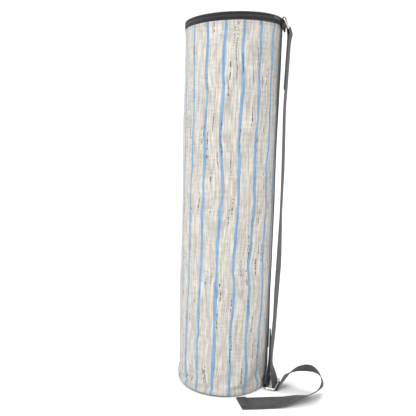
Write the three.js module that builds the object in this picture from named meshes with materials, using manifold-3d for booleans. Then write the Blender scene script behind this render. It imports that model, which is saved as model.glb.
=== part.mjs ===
// Tube bag for a rolled exercise mat: a hollow fabric tube with a zipped lid, a carrying strap
// threaded through two wire rings, and the tapes that hold them together.
// Millimetres, +Z up. The origin is the centre of the base, where the bag stands.
// Azimuths are in degrees round the tube from +X, the side that carries the strap.
// The mouth slopes a little: lid and zip are drawn level at BAG_HEIGHT and then tilted about the
// middle of the mouth, and the tube is cut off along the same slope.

import * as THREE from 'three';
import { mergeVertices } from 'three/addons/utils/BufferGeometryUtils.js';
import Module from 'manifold-3d';

const wasm = await Module();
wasm.setup();

// ---- driving dimensions ----
const BAG_HEIGHT = 687;
const MOUTH_TILT = 4;
const MOUTH_HIGH_SIDE = 50;
const BAG_RADIUS = 89;
const FABRIC = 2;
const GAP = 0.3;
const ROUND_SEGMENTS = 72;

const UNCUT_HEIGHT = BAG_HEIGHT + 10;
const SEAM_AZIMUTH = -5;
const WEBBING_WIDTH = 40;
const WEBBING_THICKNESS = 1.8;

const ZIP_BAND_HEIGHT = 13;
const ZIP_TAPE_THICKNESS = 2;
const ZIP_COIL_HEIGHT = 1.5;
const ZIP_COIL_GAP = 1.1;
const HINGE_HALF_ANGLE = 20;
const SLIDER_AZIMUTH = -31;

const BINDING_THICKNESS = 1.8;
const BINDING_HEIGHT = 8;
const FACING_BOTTOM = 650;

const RING_WIRE = 3.4;
const RING_SPAN = 46;
const RING_DEPTH = 20;
const RING_CORNER = 4;
const BAR_CLEARANCE = 2.3;

const TAB_LAYER = 1.5;
const TAB_WIDTH = 39;
const TOP_RING = { azimuth: -12, radius: 94.4, z: 686, droop: 62 };
const BOTTOM_RING = { azimuth: -18, radius: 93.4, z: 4.8, droop: 0 };
const TOP_TAB_LENGTH = 15;
const BOTTOM_TAB_STITCHED_TOP = 100;
const SIDE_WEBBING_BOTTOM = 72;
// The strip of webbing covers the seam from just behind it.
const SIDE_WEBBING_AZIMUTH = 3;

const STRAP_FOLD_LENGTH = 105;
const STRAP_FOLD_LEAN = 1.5;
const HEM_LENGTH = 15;

// ---- levels and radii that follow from them ----
const INNER_RADIUS = BAG_RADIUS - FABRIC;
const BAND_BOTTOM = BAG_HEIGHT - ZIP_BAND_HEIGHT;
const BAND_TOP = BAG_HEIGHT - GAP;
const TAPE_OUTER = BAG_RADIUS + 1;
const TAPE_INNER = TAPE_OUTER - ZIP_TAPE_THICKNESS;
const ZIP_MIDDLE = (BAND_BOTTOM + BAG_HEIGHT) / 2 - 0.15;
const LOWER_COIL_TOP = ZIP_MIDDLE - ZIP_COIL_GAP / 2;
const LOWER_COIL_BOTTOM = LOWER_COIL_TOP - ZIP_COIL_HEIGHT;
const UPPER_COIL_BOTTOM = ZIP_MIDDLE + ZIP_COIL_GAP / 2;
const UPPER_COIL_TOP = UPPER_COIL_BOTTOM + ZIP_COIL_HEIGHT;
const ZIP_START = SEAM_AZIMUTH + HINGE_HALF_ANGLE;
const ZIP_END = SEAM_AZIMUTH + 360 - HINGE_HALF_ANGLE;
const WEBBING_INNER = BAG_RADIUS + GAP;
const WEBBING_OUTER = WEBBING_INNER + WEBBING_THICKNESS;
const LOOP_OUTER = BAR_CLEARANCE + TAB_LAYER;
const STRAP_LOOP_OUTER = BAR_CLEARANCE + WEBBING_THICKNESS;

// ---- materials ----
const cloth = (color, roughness = 0.95) => new THREE.MeshStandardMaterial({ color, roughness, metalness: 0 });
const metal = (color, roughness = 0.3) => new THREE.MeshStandardMaterial({ color, roughness, metalness: 1 });
const STRIPED_CANVAS = cloth(0xd6cfc4);
const CHARCOAL_CANVAS = cloth(0x3b3a40);
const ZIP_TAPE = cloth(0x34333a, 0.9);
const ZIP_COIL = cloth(0x222226, 0.5);
const STRAP_WEBBING = cloth(0x5c5b61);
const BINDING_TAPE = cloth(0xb9b2a6);
const NICKEL = metal(0xb9b4aa);
const DARK_NICKEL = metal(0x5a595c, 0.4);

// ---- helpers ----
const radians = THREE.MathUtils.degToRad;

function piece(name, geometry, material) {
  const mesh = new THREE.Mesh(geometry, material);
  mesh.name = name;
  return mesh;
}

// A closed ring about Z with a rectangular section.
function hoop(inner, outer, bottom, top) {
  const section = [[inner, bottom], [outer, bottom], [outer, top], [inner, top], [inner, bottom]];
  const profile = section.map(([radius, z]) => new THREE.Vector2(radius, z));
  return new THREE.LatheGeometry(profile, ROUND_SEGMENTS).rotateX(Math.PI / 2);
}

// Part of such a ring, from one azimuth round to another.
function band(inner, outer, bottom, top, fromAzimuth, toAzimuth) {
  const shape = new THREE.Shape();
  shape.absarc(0, 0, outer, radians(fromAzimuth), radians(toAzimuth), false);
  shape.absarc(0, 0, inner, radians(toAzimuth), radians(fromAzimuth), true);
  const arcSteps = Math.max(6, Math.round(((toAzimuth - fromAzimuth) / 360) * ROUND_SEGMENTS));
  const options = { depth: top - bottom, bevelEnabled: false, curveSegments: arcSteps };
  return new THREE.ExtrudeGeometry(shape, options).translate(0, 0, bottom);
}

function disc(radius, bottom, top) {
  const height = top - bottom;
  const geometry = new THREE.CylinderGeometry(radius, radius, height, ROUND_SEGMENTS);
  return geometry.rotateX(Math.PI / 2).translate(0, 0, bottom + height / 2);
}

function block(xLow, xHigh, yLow, yHigh, zLow, zHigh) {
  const geometry = new THREE.BoxGeometry(xHigh - xLow, yHigh - yLow, zHigh - zLow);
  return geometry.translate((xLow + xHigh) / 2, (yLow + yHigh) / 2, (zLow + zHigh) / 2);
}

function solid(geometry) {
  const bare = geometry.clone();
  bare.deleteAttribute('normal');
  bare.deleteAttribute('uv');
  const merged = mergeVertices(bare, 1e-4);
  const vertProperties = new Float32Array(merged.attributes.position.array);
  const triVerts = new Uint32Array(merged.index.array);
  return new wasm.Manifold(new wasm.Mesh({ numProp: 3, vertProperties, triVerts }));
}

function geometryOf(manifold) {
  const mesh = manifold.getMesh();
  const geometry = new THREE.BufferGeometry();
  geometry.setAttribute('position', new THREE.BufferAttribute(mesh.vertProperties, 3));
  geometry.setIndex(new THREE.BufferAttribute(mesh.triVerts, 1));
  geometry.computeVertexNormals();
  return geometry;
}

const joined = (...geometries) => geometryOf(geometries.map(solid).reduce((a, b) => a.add(b)));
const cut = (geometry, tool) => geometryOf(solid(geometry).subtract(solid(tool)));

// ---- the sloping mouth ----
const slopeAxis = new THREE.Vector3(1, 0, 0).applyAxisAngle(
  new THREE.Vector3(0, 0, 1), radians(MOUTH_HIGH_SIDE - 90));
const SLOPE = new THREE.Matrix4()
  .makeTranslation(0, 0, BAG_HEIGHT)
  .multiply(new THREE.Matrix4().makeRotationAxis(slopeAxis, radians(MOUTH_TILT)))
  .multiply(new THREE.Matrix4().makeTranslation(0, 0, -BAG_HEIGHT));

function onSlope(...members) {
  const group = new THREE.Group();
  SLOPE.decompose(group.position, group.quaternion, group.scale);
  group.add(...members);
  return group;
}

// The part of a geometry that lies more than a given depth below the mouth.
function belowMouth(geometry, depth) {
  const reach = 2 * BAG_RADIUS;
  const above = block(-reach, reach, -reach, reach, BAG_HEIGHT - depth, 2 * BAG_HEIGHT);
  return cut(geometry, above.applyMatrix4(SLOPE));
}

// Webbing folded round a bar: an eye centred on the origin with a flat leg hanging below it.
// The profile lies in the radial and vertical plane, and the fold is as wide as the webbing.
function foldedEye(eyeOuter, legInner, legOuter, legLength, width) {
  const profile = new THREE.Shape();
  const jointAngle = (x) => Math.acos(x / eyeOuter);
  profile.moveTo(legInner, -legLength);
  profile.lineTo(legOuter, -legLength);
  profile.absarc(0, 0, eyeOuter, -jointAngle(legOuter), 2 * Math.PI - jointAngle(legInner), false);
  const hole = new THREE.Path();
  hole.absarc(0, 0, BAR_CLEARANCE, 0, 2 * Math.PI, true);
  profile.holes.push(hole);
  const options = { depth: width, bevelEnabled: false, curveSegments: 8 };
  return new THREE.ExtrudeGeometry(profile, options).translate(0, 0, -width / 2).rotateX(Math.PI / 2);
}

// A rectangular wire ring with its held bar along Y through the origin, reaching out along +X.
function wireRing() {
  const bevel = 1.1;
  const inset = RING_WIRE / 2 - bevel;
  const roundedRectangle = (Kind, offset) => {
    const path = new Kind();
    const [left, right] = [-offset, RING_DEPTH + offset];
    const half = RING_SPAN / 2 + offset;
    const corner = RING_CORNER + offset;
    path.moveTo(left + corner, -half);
    path.lineTo(right - corner, -half);
    path.absarc(right - corner, -half + corner, corner, -Math.PI / 2, 0, false);
    path.lineTo(right, half - corner);
    path.absarc(right - corner, half - corner, corner, 0, Math.PI / 2, false);
    path.lineTo(left + corner, half);
    path.absarc(left + corner, half - corner, corner, Math.PI / 2, Math.PI, false);
    path.lineTo(left, -half + corner);
    path.absarc(left + corner, -half + corner, corner, Math.PI, 1.5 * Math.PI, false);
    return path;
  };
  const outline = roundedRectangle(THREE.Shape, inset);
  outline.holes.push(roundedRectangle(THREE.Path, -inset));
  const depth = RING_WIRE - 2 * bevel;
  const options = { depth, bevelSize: bevel, bevelThickness: bevel, bevelSegments: 2, curveSegments: 4 };
  return new THREE.ExtrudeGeometry(outline, options).translate(0, 0, -depth / 2);
}

// A flat strap along a route. Each station gives a point of the centre line and the direction
// across the strap there, so the strap can twist.
class StrapPath extends THREE.CatmullRomCurve3 {
  constructor(stations) {
    super(stations.map(([x, y, z]) => new THREE.Vector3(x, y, z)), false, 'centripetal');
    this.acrossDirections = stations.map(([, , , x, y, z]) => new THREE.Vector3(x, y, z).normalize());
  }

  acrossAt(u) {
    const position = this.getUtoTmapping(u) * (this.acrossDirections.length - 1);
    const first = Math.min(Math.floor(position), this.acrossDirections.length - 2);
    const blend = THREE.MathUtils.smoothstep(position - first, 0, 1);
    return this.acrossDirections[first].clone().lerp(this.acrossDirections[first + 1], blend).normalize();
  }

  computeFrenetFrames(segments) {
    const tangents = [];
    const normals = [];
    const binormals = [];
    for (let i = 0; i <= segments; i++) {
      const tangent = this.getTangentAt(i / segments);
      const across = this.acrossAt(i / segments);
      tangents.push(tangent);
      binormals.push(across);
      normals.push(across.clone().cross(tangent).normalize());
    }
    return { tangents, normals, binormals };
  }
}

function flatStrap(stations, width, thickness, steps) {
  const section = new THREE.Shape();
  section.moveTo(-thickness / 2, -width / 2);
  section.lineTo(thickness / 2, -width / 2);
  section.lineTo(thickness / 2, width / 2);
  section.lineTo(-thickness / 2, width / 2);
  return new THREE.ExtrudeGeometry(section, { steps, extrudePath: new StrapPath(stations) });
}

// A station of a strap given by azimuth, radius and height, with its width along the tangent.
function besideTube(azimuth, radius, z) {
  const angle = radians(azimuth);
  return [radius * Math.cos(angle), radius * Math.sin(angle), z, -Math.sin(angle), Math.cos(angle), 0];
}

function turned(azimuth, ...meshes) {
  const group = new THREE.Group();
  group.rotation.z = radians(azimuth);
  group.add(...meshes);
  return group;
}

// ---- tube body ----
function tubeBody() {
  const sideBinding = block(
    INNER_RADIUS - GAP - 0.2 - BINDING_THICKNESS, INNER_RADIUS - GAP - 0.2, -5, 5,
    FABRIC + BINDING_HEIGHT + 2 * GAP, FACING_BOTTOM - GAP);
  const halfWebbing = THREE.MathUtils.radToDeg(WEBBING_WIDTH / 2 / BAG_RADIUS);
  const webbing = band(
    WEBBING_INNER, WEBBING_OUTER, SIDE_WEBBING_BOTTOM, UNCUT_HEIGHT,
    SIDE_WEBBING_AZIMUTH - halfWebbing, SIDE_WEBBING_AZIMUTH + halfWebbing);
  const tube = hoop(INNER_RADIUS, BAG_RADIUS, 0, UNCUT_HEIGHT);
  const facing = hoop(INNER_RADIUS - GAP - 1.6, INNER_RADIUS - GAP, FACING_BOTTOM, UNCUT_HEIGHT);
  const canvasDepth = ZIP_BAND_HEIGHT + GAP;
  return [
    piece('body_panel', belowMouth(tube, canvasDepth), STRIPED_CANVAS),
    piece('base_panel', disc(INNER_RADIUS - GAP, 0, FABRIC), CHARCOAL_CANVAS),
    piece('base_seam_binding', hoop(
      INNER_RADIUS - GAP - BINDING_THICKNESS, INNER_RADIUS - GAP,
      FABRIC + GAP, FABRIC + GAP + BINDING_HEIGHT), BINDING_TAPE),
    piece('rim_facing', belowMouth(facing, canvasDepth), CHARCOAL_CANVAS),
    turned(SEAM_AZIMUTH, piece('side_seam_binding', sideBinding, BINDING_TAPE)),
    piece('side_webbing', belowMouth(webbing, canvasDepth), STRAP_WEBBING),
  ];
}

// ---- zip, slider and pull ----
function zipHalf(suffix, tapeBottom, tapeTop, coilBottom) {
  const [from, to] = [ZIP_START + 0.5, ZIP_END - 0.5];
  const coil = band(
    TAPE_INNER + 0.4, TAPE_OUTER + 0.4, coilBottom, coilBottom + ZIP_COIL_HEIGHT, from + 2, to - 2);
  return [
    piece(`zip_tape_${suffix}`, band(TAPE_INNER, TAPE_OUTER, tapeBottom, tapeTop, from, to), ZIP_TAPE),
    piece(`zip_coil_${suffix}`, coil, ZIP_COIL),
  ];
}

function zipStop(name, azimuth) {
  const height = ZIP_COIL_GAP + 2 * ZIP_COIL_HEIGHT;
  const clip = block(TAPE_INNER, TAPE_OUTER + 1, -0.9, 0.9, ZIP_MIDDLE - height / 2, LOWER_COIL_TOP + 0.4);
  return turned(azimuth, piece(name, clip, DARK_NICKEL));
}

function zipSlider() {
  const plateHalfHeight = 3.6;
  const plateHalfLength = 6;
  const outerPlate = [TAPE_OUTER + 1.4, TAPE_OUTER + 2.6];
  const innerPlate = [TAPE_INNER - 2.8, TAPE_INNER - 1.8];
  const plate = ([low, high]) => block(
    low, high, -plateHalfLength, plateHalfLength, ZIP_MIDDLE - plateHalfHeight, ZIP_MIDDLE + plateHalfHeight);
  const web = block(innerPlate[1] - 0.5, outerPlate[0] + 0.5, 1, 5, ZIP_MIDDLE - 0.25, ZIP_MIDDLE + 0.25);
  const lug = (middle) => block(
    outerPlate[1] - 0.3, outerPlate[1] + 2.8, -4.6, -1.4, middle - 0.5, middle + 0.5);
  const lugs = [lug(ZIP_MIDDLE - 2.7), lug(ZIP_MIDDLE + 2.7)];
  const body = joined(plate(outerPlate), plate(innerPlate), web, ...lugs);
  const pinHole = new THREE.CylinderGeometry(0.95, 0.95, 12, 12).rotateX(Math.PI / 2);
  return cut(body, pinHole.translate(outerPlate[1] + 1.4, -3, ZIP_MIDDLE));
}

function zipPull() {
  const pinRadius = TAPE_OUTER + 4;
  const pin = new THREE.CylinderGeometry(0.65, 0.65, 6.2, 12).rotateX(Math.PI / 2);
  const arm = block(pinRadius - 0.55, pinRadius + 0.55, -19, -2.6, ZIP_MIDDLE - 2, ZIP_MIDDLE + 2);
  const grip = block(pinRadius - 0.8, pinRadius + 0.8, -24, -8, ZIP_MIDDLE - 2.8, ZIP_MIDDLE + 2.8);
  return joined(pin.translate(pinRadius, -3, ZIP_MIDDLE), arm, grip);
}

function zip() {
  const lower = zipHalf('lower', BAND_BOTTOM + 0.1, LOWER_COIL_BOTTOM - GAP, LOWER_COIL_BOTTOM);
  const patch = band(
    TAPE_INNER, TAPE_OUTER, BAND_BOTTOM + 0.1, BAND_TOP,
    SEAM_AZIMUTH - HINGE_HALF_ANGLE + 0.4, SEAM_AZIMUTH + HINGE_HALF_ANGLE - 0.4);
  return [
    ...lower,
    piece('hinge_patch', patch, CHARCOAL_CANVAS),
    zipStop('zip_closed_stop', ZIP_END - 1.6),
    zipStop('zip_open_stop', ZIP_START + 1.6),
    turned(
      SLIDER_AZIMUTH,
      piece('zip_slider', zipSlider(), DARK_NICKEL),
      piece('zip_pull', zipPull(), DARK_NICKEL)),
  ];
}

// ---- lid ----
function lid() {
  const panelRadius = TAPE_INNER - 0.5;
  const panelBottom = BAND_TOP - 0.3 - FABRIC;
  const bindingTop = panelBottom - GAP;
  const bindingOuter = panelRadius - 2.9;
  const binding = hoop(
    bindingOuter - BINDING_THICKNESS, bindingOuter, bindingTop - BINDING_HEIGHT, bindingTop);
  return [
    piece('lid_panel', disc(panelRadius, panelBottom, panelBottom + FABRIC), CHARCOAL_CANVAS),
    piece('lid_seam_binding', binding, BINDING_TAPE),
    ...zipHalf('upper', UPPER_COIL_TOP + GAP, BAND_TOP, UPPER_COIL_BOTTOM),
  ];
}

// ---- rings and the tabs that hold them ----
function ringAt(name, { azimuth, radius, z, droop }) {
  const ring = piece(name, wireRing(), NICKEL);
  ring.position.set(radius, 0, z);
  ring.rotation.y = radians(droop);
  return turned(azimuth, ring);
}

function topTab() {
  const legInner = WEBBING_OUTER + GAP - TOP_RING.radius;
  const eye = foldedEye(LOOP_OUTER, legInner, legInner + 2 * TAB_LAYER, TOP_TAB_LENGTH, TAB_WIDTH);
  eye.translate(TOP_RING.radius, 0, TOP_RING.z);
  return turned(TOP_RING.azimuth, piece('top_ring_tab', eye, STRAP_WEBBING));
}

function bottomTab() {
  const { azimuth, radius, z } = BOTTOM_RING;
  const legLength = 8;
  const layers = 2 * TAB_LAYER;
  const eye = foldedEye(LOOP_OUTER, -layers / 2, layers / 2, legLength, TAB_WIDTH).rotateX(Math.PI);
  eye.translate(radius, 0, z).rotateZ(radians(azimuth));
  const sewnRadius = WEBBING_OUTER + GAP + TAB_LAYER + 0.1;
  const hanging = flatStrap([
    besideTube(azimuth, radius, z + legLength - 3),
    besideTube(azimuth + 1, radius + 0.4, z + 20),
    besideTube(azimuth + 6, radius + 1.4, z + 42),
    besideTube(SEAM_AZIMUTH - 2, sewnRadius + 0.7, SIDE_WEBBING_BOTTOM + 2),
    besideTube(SEAM_AZIMUTH, sewnRadius, BOTTOM_TAB_STITCHED_TOP),
  ], TAB_WIDTH, layers, 14);
  return piece('bottom_ring_tab', joined(eye, hanging), STRAP_WEBBING);
}

// ---- carrying strap ----
// Each row is a point of the strap's centre line, then the direction across the strap.
const STRAP_UPPER_ROUTE = [
  [98.7, -20.9, 560.5, 0.21, 0.98, 0],
  [99.2, -18.8, 530, 0.21, 0.98, 0],
  [100.8, -14.6, 470, 0.22, 0.98, 0],
  [102.1, -11.6, 420, 0.22, 0.98, 0],
  [102.3, -10.4, 375, 0.2, 0.98, 0],
  [102.3, -10, 330.2, 0.2, 0.98, 0],
];
const STRAP_LOWER_ROUTE = [
  [102.3, -10, 329.8, 0.2, 0.98, 0],
  [102.5, -10.2, 290, 0.26, 0.97, 0],
  [102.4, -11.2, 240, 0.32, 0.95, 0],
  [100.9, -13, 190, 0.31, 0.95, 0],
  [99.5, -16, 140, 0.27, 0.96, 0],
  [97.4, -20, 95, 0.27, 0.96, 0],
  [95.7, -25, 58, 0.2, 0.98, 0],
  [95.9, -29, 38, 0.17, 0.98, -0.05],
  [98.8, -31.8, 24, 0.25, 0.97, 0],
  [101.8, -33, 12.5, 0.31, 0.95, 0],
];
const STRAP_TAIL_ROUTE = [
  [113.9, -37, 10.2, 0.31, 0.95, 0],
  [120.5, -38.5, 20.5, 0.2, 0.97, -0.14],
  [131.5, -40, 32.5, 0.14, 0.89, -0.43],
  [144, -42.5, 41.2, 0.14, 0.8, -0.58],
  [158, -46.5, 46, 0.12, 0.74, -0.66],
  [170, -51, 46.8, 0.15, 0.75, -0.64],
  [179.3, -56.5, 43.6, 0.18, 0.82, -0.55],
  [184.5, -61.5, 37.4, 0.19, 0.88, -0.44],
  [186.8, -67, 30.4, 0.26, 0.88, -0.4],
  [184, -73.5, 23, 0.33, 0.87, -0.38],
  [175, -79.5, 17.2, 0.25, 0.88, -0.41],
  [161, -84.5, 12, 0.17, 0.87, -0.46],
  [149, -88, 10, 0.13, 0.92, -0.36],
  [136, -90.5, 7.5, 0.1, 0.97, -0.23],
  [123, -93.5, 4.6, 0.08, 0.99, -0.12],
  [110, -96, 2.4, 0.03, 1, -0.05],
  [92, -98.5, 1.3, 0, 1, 0],
  [74, -101.5, 1.2, -0.06, 1, 0],
  [52, -104.8, 1.2, -0.18, 0.98, 0],
  [33, -107.5, 1.2, -0.28, 0.96, 0],
];
const STRAP_HEM_ROUTE = [
  [33 + HEM_LENGTH, -105.3, 3.4, -0.2, 0.98, 0],
  [33, -107.5, 3.4, -0.28, 0.96, 0],
];

// The slack bend under the bottom ring's outer bar, as distances from that bar and heights.
const STRAP_BEND = [[-6.2, 11.8], [-5.7, 5.4], [-3.7, 2.1], [0, 1.25], [3.6, 2.1], [5.3, 5.6], [6.1, 9.6]];

function strapBend() {
  const barRadius = BOTTOM_RING.radius + RING_DEPTH;
  const stations = STRAP_BEND.map(([out, z]) => besideTube(BOTTOM_RING.azimuth, barRadius + out, z));
  return flatStrap(stations, WEBBING_WIDTH, WEBBING_THICKNESS, 20);
}

function strap() {
  const droop = radians(TOP_RING.droop);
  const barRadius = TOP_RING.radius + RING_DEPTH * Math.cos(droop);
  const barZ = TOP_RING.z - RING_DEPTH * Math.sin(droop);
  const fold = foldedEye(
    STRAP_LOOP_OUTER, -WEBBING_THICKNESS - 0.1, WEBBING_THICKNESS + 0.1, STRAP_FOLD_LENGTH, WEBBING_WIDTH);
  fold.rotateY(radians(STRAP_FOLD_LEAN)).translate(barRadius, 0, barZ);
  return [
    turned(TOP_RING.azimuth, piece('strap_fold', fold, STRAP_WEBBING)),
    piece('strap_upper', flatStrap(STRAP_UPPER_ROUTE, WEBBING_WIDTH, WEBBING_THICKNESS, 12), STRAP_WEBBING),
    piece('strap_lower', flatStrap(STRAP_LOWER_ROUTE, WEBBING_WIDTH, WEBBING_THICKNESS, 24), STRAP_WEBBING),
    piece('strap_bend', strapBend(), STRAP_WEBBING),
    piece('strap_tail', flatStrap(STRAP_TAIL_ROUTE, WEBBING_WIDTH, WEBBING_THICKNESS, 70), STRAP_WEBBING),
    piece('strap_hem', flatStrap(STRAP_HEM_ROUTE, WEBBING_WIDTH, WEBBING_THICKNESS, 2), STRAP_WEBBING),
  ];
}

const bag = new THREE.Group();
bag.add(
  ...tubeBody(),
  onSlope(...zip(), ...lid()),
  topTab(),
  bottomTab(),
  ringAt('top_ring', TOP_RING),
  ringAt('bottom_ring', BOTTOM_RING),
  ...strap(),
);

export default bag;
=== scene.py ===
import math

import bmesh
import bpy
import numpy as np
from mathutils import Matrix, Vector


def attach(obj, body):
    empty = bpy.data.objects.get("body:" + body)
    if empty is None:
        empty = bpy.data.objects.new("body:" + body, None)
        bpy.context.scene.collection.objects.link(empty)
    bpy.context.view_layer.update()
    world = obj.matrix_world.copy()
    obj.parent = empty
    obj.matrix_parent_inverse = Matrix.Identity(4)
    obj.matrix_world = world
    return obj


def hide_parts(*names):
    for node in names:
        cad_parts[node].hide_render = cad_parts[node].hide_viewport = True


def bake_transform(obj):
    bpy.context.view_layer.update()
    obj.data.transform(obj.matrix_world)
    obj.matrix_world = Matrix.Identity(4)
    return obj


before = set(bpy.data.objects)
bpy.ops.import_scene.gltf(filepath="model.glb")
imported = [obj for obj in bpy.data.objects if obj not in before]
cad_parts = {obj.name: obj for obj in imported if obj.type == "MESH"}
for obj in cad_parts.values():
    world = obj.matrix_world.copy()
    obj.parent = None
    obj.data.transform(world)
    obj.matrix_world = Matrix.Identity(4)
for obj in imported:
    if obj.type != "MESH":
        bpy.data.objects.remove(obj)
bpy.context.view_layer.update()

# Yoga mat bag in metres, +Z up, +X towards the strap, -Y the front.
# Azimuths are in radians round the tube from +X.


# ---- sizes
ROUND = 2 * math.pi
BAG_RADIUS = 0.089
BAG_HEIGHT = 0.687
GIRTH = ROUND * BAG_RADIUS
WALL = 0.0014
MOUTH_TILT = math.radians(4)
MOUTH_HIGH_SIDE = math.radians(50)
CANVAS_DEPTH = 0.0131
FACING_BOTTOM = 0.650
SEAM_AZIMUTH = math.radians(-5)
HINGE_HALF_ANGLE = math.radians(20)
SLIDER_AZIMUTH = math.radians(-31)
TOP_RING_AZIMUTH = math.radians(-12)
BOTTOM_RING_AZIMUTH = math.radians(-18)
WEBBING_WIDTH = 0.040
WEBBING_THICKNESS = 0.0018
GROOVE_FROM_EDGE = 0.0030
TAB_WIDTH = 0.039
TAB_THICKNESS = 0.0014
RING_WIRE = 0.0034
RING_SPAN = 0.046
RING_DEPTH = 0.020
RING_CORNER = 0.004
TOP_RING_BAR = (0.0944, 0.686)
TOP_RING_DROOP = math.radians(62)
BOTTOM_RING_BAR = (0.0934, 0.0048)
SIDE_WEBBING_BOTTOM = 0.072
SIDE_WEBBING_AZIMUTH = math.radians(3)


# ---- small vector helpers
def out_from_axis(azimuth):
    return np.array([math.cos(azimuth), math.sin(azimuth), 0.0])


def round_the_axis(azimuth):
    return np.array([-math.sin(azimuth), math.cos(azimuth), 0.0])


def beside(azimuth, radius, z, along=0.0):
    """A point at a radius and height, moved along the tangent."""
    return out_from_axis(azimuth) * radius + round_the_axis(azimuth) * along + np.array([0.0, 0.0, z])


SLOPE_AXIS = Vector(out_from_axis(MOUTH_HIGH_SIDE - math.pi / 2))
SLOPE_TURN = np.array(Matrix.Rotation(MOUTH_TILT, 3, SLOPE_AXIS))
MOUTH_MIDDLE = np.array([0.0, 0.0, BAG_HEIGHT])


def on_slope(points):
    """Points drawn for a level mouth, tilted with the real one."""
    return (np.asarray(points) - MOUTH_MIDDLE) @ SLOPE_TURN.T + MOUTH_MIDDLE


def slope_height(x, y, depth):
    """Height of the plane that lies a given depth below the sloping mouth."""
    normal = SLOPE_TURN @ np.array([0.0, 0.0, 1.0])
    origin = MOUTH_MIDDLE - normal * depth
    return origin[2] - (normal[0] * (x - origin[0]) + normal[1] * (y - origin[1])) / normal[2]


def rim(azimuth, radius, depth):
    """A point given by azimuth, radius and depth below the mouth, on the slope."""
    azimuth, radius, depth = np.broadcast_arrays(azimuth, radius, depth)
    level = np.stack([radius * np.cos(azimuth), radius * np.sin(azimuth), BAG_HEIGHT - depth], axis=-1)
    return on_slope(level)


def unit(vectors):
    return vectors / np.linalg.norm(vectors, axis=-1, keepdims=True)


def distance_along(points):
    """How far along a line of points each of them lies."""
    return np.concatenate([[0], np.cumsum(np.linalg.norm(np.diff(points, axis=0), axis=1))])


def smooth_route(rows, spacing):
    """A Catmull-Rom curve through rows of point and direction, sampled at an even spacing."""
    rows = np.array(rows, float)
    padded = np.vstack([2 * rows[0] - rows[1], rows, 2 * rows[-1] - rows[-2]])
    t = np.linspace(0, 1, 24, endpoint=False)[:, None]
    samples = []
    for a, b, c, d in zip(padded[:-3], padded[1:-2], padded[2:-1], padded[3:]):
        samples.append(0.5 * (2 * b + (c - a) * t + (2 * a - 5 * b + 4 * c - d) * t**2
                              + (3 * b - a - 3 * c + d) * t**3))
    curve = np.vstack([*samples, rows[-1:]])
    travelled = distance_along(curve[:, :3])
    even = np.linspace(0, travelled[-1], round(travelled[-1] / spacing) + 1)
    return np.stack([np.interp(even, travelled, curve[:, k]) for k in range(curve.shape[1])], axis=1)


def round_a_bar(azimuth, radius, height, profile):
    """Stations of webbing round a ring's bar: points (out, up) from it, with the tangent across."""
    across = round_the_axis(azimuth)
    return [[*beside(azimuth, radius + out, height + up), *across] for out, up in profile]


# ---- mesh helpers
def new_object(name, vertices, faces, corner_uvs=None):
    mesh = bpy.data.meshes.new(name)
    mesh.from_pydata([tuple(v) for v in vertices], [], [tuple(f) for f in faces])
    if corner_uvs is not None:
        layer = mesh.uv_layers.new(name="cloth")
        layer.data.foreach_set("uv", np.asarray(corner_uvs, np.float32).ravel())
    mesh.polygons.foreach_set("use_smooth", [True] * len(mesh.polygons))
    mesh.update()
    piece = bpy.data.objects.new(name, mesh)
    bpy.context.scene.collection.objects.link(piece)
    return piece


def finish_piece(piece, body, slot, material, *replaced):
    """Turns the faces outwards, gives the piece its material and body, and hides the CAD nodes it replaces.
    The slot argument is not used.
    """
    mesh = bmesh.new()
    mesh.from_mesh(piece.data)
    bmesh.ops.recalc_face_normals(mesh, faces=mesh.faces)
    mesh.to_mesh(piece.data)
    mesh.free()
    piece.data.materials.clear()
    piece.data.materials.append(material)
    if body:
        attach(piece, body)
    if replaced:
        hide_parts(*replaced)
    return piece


def rounded_outline(left, right, half_left, half_right, corner, steps=6):
    """A tapered bar, wide at either end, with round corners."""
    points = []
    for x, y, first in ((right, half_right, 0), (left, half_left, 90), (left, -half_left, 180),
                        (right, -half_right, 270)):
        centre_x = x - math.copysign(corner, x - (left + right) / 2)
        centre_y = y - math.copysign(corner, y)
        for turn in np.radians(np.linspace(first, first + 90, steps)):
            points.append((centre_x + corner * math.cos(turn), centre_y + corner * math.sin(turn)))
    return points


def capped_faces(rings, sides, base=0):
    """Faces of a closed bar, its two caps first, for vertices numbered ring by ring from base."""
    last = base + (rings - 1) * sides
    faces = [tuple(base + k for k in reversed(range(sides))), tuple(last + k for k in range(sides))]
    for start in range(base, last, sides):
        for k in range(sides):
            a, b = start + k, start + (k + 1) % sides
            faces.append((a, b, b + sides, a + sides))
    return faces


def grid_piece(name, points, uvs, closed_rows=False, closed_columns=False, caps=False):
    """Quads over a grid of points. uvs has one more row or column than points where it closes."""
    rows, columns = points.shape[:2]
    faces = []
    corner_uvs = []
    for r in range(rows if closed_rows else rows - 1):
        for c in range(columns if closed_columns else columns - 1):
            corners = [(r, c), (r, c + 1), (r + 1, c + 1), (r + 1, c)]
            faces.append([(i % rows) * columns + j % columns for i, j in corners])
            corner_uvs += [uvs[i, j] for i, j in corners]
    if caps:
        for row, order in ((0, range(columns - 1, -1, -1)), (rows - 1, range(columns))):
            faces.append([row * columns + c for c in order])
            corner_uvs += [uvs[row, c] for c in order]
    return new_object(name, points.reshape(-1, 3), faces, corner_uvs)


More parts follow.
